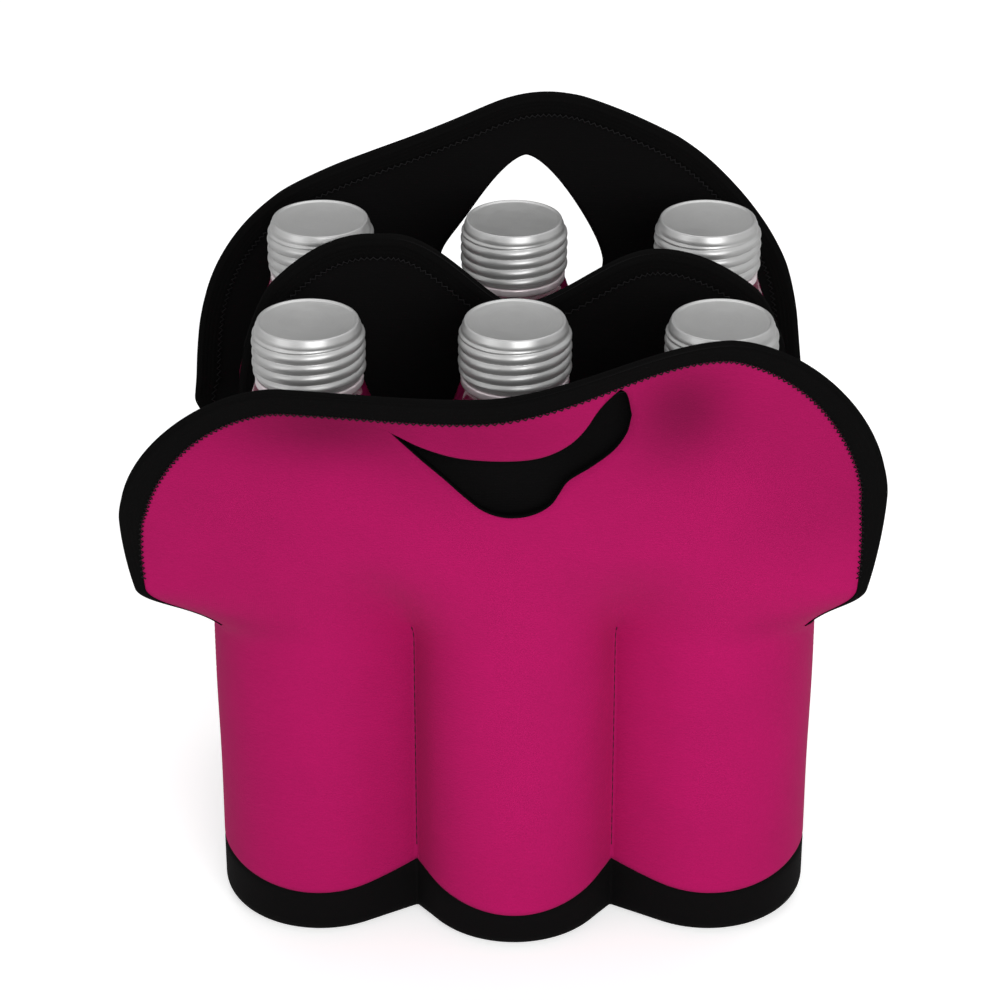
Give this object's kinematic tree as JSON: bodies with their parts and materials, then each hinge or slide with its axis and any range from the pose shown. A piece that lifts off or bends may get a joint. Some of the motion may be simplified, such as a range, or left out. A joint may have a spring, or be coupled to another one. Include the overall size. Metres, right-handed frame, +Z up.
{
  "type": "six pack carrier",
  "caption": "Soft padded tote with scalloped bottle pockets, a middle wall and two folding flaps, one with a finger slot and one with an arched hand opening, holding capped bottles.",
  "frame": {"origin": "on the floor, under the middle of the base", "axes": "+X across the three columns to the viewer's right, +Y from the front row to the rear row, +Z up"},
  "size_m": [0.238, 0.1767, 0.2377],
  "materials": {
    "magenta_sheet": "foam sheet with a fine knit face, magenta outside and black inside",
    "black_sheet": "foam sheet with a fine black knit face",
    "black_tape": "folded stretch tape, overlocked",
    "bottle_glass": "clear, polished",
    "drink": "dark red, clear; stands for the liquid",
    "band_metal": "pale pink lacquer",
    "cap_metal": "brushed and rolled",
    "liner_plastic": "soft foam disc"
  },
  "bodies": {
    "tote": {"base_panel": "black_sheet", "front_panel": "magenta_sheet", "rear_panel": "magenta_sheet", "divider": "black_sheet", "divider_binding": "black_tape", "web_front_left": "black_sheet", "web_front_right": "black_sheet", "web_rear_left": "black_sheet", "web_rear_right": "black_sheet"},
    "front_half": {"front_flap": "magenta_sheet", "front_binding": "black_tape", "grip_lining": "black_sheet"},
    "handle_half": {"handle_flap": "magenta_sheet", "handle_binding": "black_tape"},
    "bottle_front_left": {"bottle_front_left": "bottle_glass", "drink_front_left": "drink", "tamper_band_front_left": "band_metal"},
    "cap_front_left": {"cap_front_left": "cap_metal", "cap_liner_front_left": "liner_plastic"},
    "bottle_front_centre": {"bottle_front_centre": "bottle_glass", "drink_front_centre": "drink", "tamper_band_front_centre": "band_metal"},
    "cap_front_centre": {"cap_front_centre": "cap_metal", "cap_liner_front_centre": "liner_plastic"},
    "bottle_front_right": {"bottle_front_right": "bottle_glass", "drink_front_right": "drink", "tamper_band_front_right": "band_metal"},
    "cap_front_right": {"cap_front_right": "cap_metal", "cap_liner_front_right": "liner_plastic"},
    "bottle_rear_left": {"bottle_rear_left": "bottle_glass", "drink_rear_left": "drink", "tamper_band_rear_left": "band_metal"},
    "cap_rear_left": {"cap_rear_left": "cap_metal", "cap_liner_rear_left": "liner_plastic"},
    "bottle_rear_centre": {"bottle_rear_centre": "bottle_glass", "drink_rear_centre": "drink", "tamper_band_rear_centre": "band_metal"},
    "cap_rear_centre": {"cap_rear_centre": "cap_metal", "cap_liner_rear_centre": "liner_plastic"},
    "bottle_rear_right": {"bottle_rear_right": "bottle_glass", "drink_rear_right": "drink", "tamper_band_rear_right": "band_metal"},
    "cap_rear_right": {"cap_rear_right": "cap_metal", "cap_liner_rear_right": "liner_plastic"}
  },
  "joints": [
    {"name": "front_flap_fold", "type": "hinge", "parent": "tote", "child": "front_half", "pos_m": [0, -0.0813, 0.112], "axis": [1, 0, 0], "range_deg": [0, 80], "stiffness_Nm_per_rad": 0.5},
    {"name": "handle_flap_fold", "type": "hinge", "parent": "tote", "child": "handle_half", "pos_m": [0, 0.0813, 0.112], "axis": [-1, 0, 0], "range_deg": [0, 80], "stiffness_Nm_per_rad": 0.5},
    {"name": "bottle_front_left_lift", "type": "slide", "parent": "tote", "child": "bottle_front_left", "axis": [0, 0, 1], "range_m": [0, 0.225]},
    {"name": "cap_front_left_off", "type": "slide", "parent": "bottle_front_left", "child": "cap_front_left", "axis": [0, 0, 1], "range_m": [0, 0.03]},
    {"name": "bottle_front_centre_lift", "type": "slide", "parent": "tote", "child": "bottle_front_centre", "axis": [0, 0, 1], "range_m": [0, 0.225]},
    {"name": "cap_front_centre_off", "type": "slide", "parent": "bottle_front_centre", "child": "cap_front_centre", "axis": [0, 0, 1], "range_m": [0, 0.03]},
    {"name": "bottle_front_right_lift", "type": "slide", "parent": "tote", "child": "bottle_front_right", "axis": [0, 0, 1], "range_m": [0, 0.225]},
    {"name": "cap_front_right_off", "type": "slide", "parent": "bottle_front_right", "child": "cap_front_right", "axis": [0, 0, 1], "range_m": [0, 0.03]},
    {"name": "bottle_rear_left_lift", "type": "slide", "parent": "tote", "child": "bottle_rear_left", "axis": [0, 0, 1], "range_m": [0, 0.225]},
    {"name": "cap_rear_left_off", "type": "slide", "parent": "bottle_rear_left", "child": "cap_rear_left", "axis": [0, 0, 1], "range_m": [0, 0.03]},
    {"name": "bottle_rear_centre_lift", "type": "slide", "parent": "tote", "child": "bottle_rear_centre", "axis": [0, 0, 1], "range_m": [0, 0.225]},
    {"name": "cap_rear_centre_off", "type": "slide", "parent": "bottle_rear_centre", "child": "cap_rear_centre", "axis": [0, 0, 1], "range_m": [0, 0.03]},
    {"name": "bottle_rear_right_lift", "type": "slide", "parent": "tote", "child": "bottle_rear_right", "axis": [0, 0, 1], "range_m": [0, 0.225]},
    {"name": "cap_rear_right_off", "type": "slide", "parent": "bottle_rear_right", "child": "cap_rear_right", "axis": [0, 0, 1], "range_m": [0, 0.03]}
  ]
}
